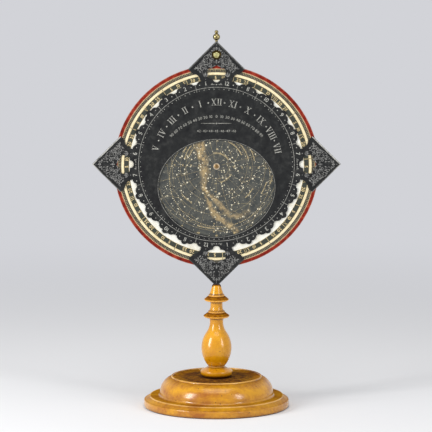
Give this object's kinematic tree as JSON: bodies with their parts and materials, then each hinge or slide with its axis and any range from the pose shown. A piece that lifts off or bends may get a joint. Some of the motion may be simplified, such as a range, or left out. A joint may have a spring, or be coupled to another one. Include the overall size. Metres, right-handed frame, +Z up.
{
  "type": "planisphere on a stand",
  "caption": "Planisphere on a turned wooden stand: a scalloped, pierced card mask with an oval horizon window in front of a chart disc that turns about the pole.",
  "frame": {"origin": "middle of the base's underside, on the surface that the stand rests on", "axes": "+Z up along the turned stem, +Y from the printed face towards the back of the card, +X to the right as seen from the front"},
  "size_m": [0.304, 0.178, 0.4665],
  "materials": {
    "base": "polished, worn darker in the dish",
    "stem": "polished boxwood",
    "rod": "drawn, lacquered",
    "finial": "turned and polished",
    "screw": "polished",
    "cup": "dark, tarnished",
    "mask": "black printed paper on card, slightly mottled",
    "back": "dark board",
    "spacer": "black card",
    "board": "grey-brown board",
    "stars": "printed paper, satin",
    "dates": "printed paper, satin",
    "binding": "red cloth, rubbed",
    "eyelet": "reddish, rolled"
  },
  "bodies": {
    "stand": {"base": "base", "stem": "stem", "support_rod": "rod", "rod_block": "rod", "finial": "finial", "fixing_screw": "screw", "screw_cup": "cup", "front_mask": "mask", "back_board": "back", "spacer_top": "spacer", "spacer_right": "spacer", "spacer_bottom": "spacer", "spacer_left": "spacer", "pole_rivet": "eyelet", "rivet_washer": "finial"},
    "chart": {"chart_board": "board", "star_sheet": "stars", "date_ring": "dates", "edge_binding": "binding", "pole_eyelet": "eyelet"}
  },
  "joints": [
    {"name": "chart_spin", "type": "hinge", "parent": "stand", "child": "chart", "pos_m": [0, -0.0015, 0.29865], "axis": [0, -1, 0], "continuous": true}
  ]
}
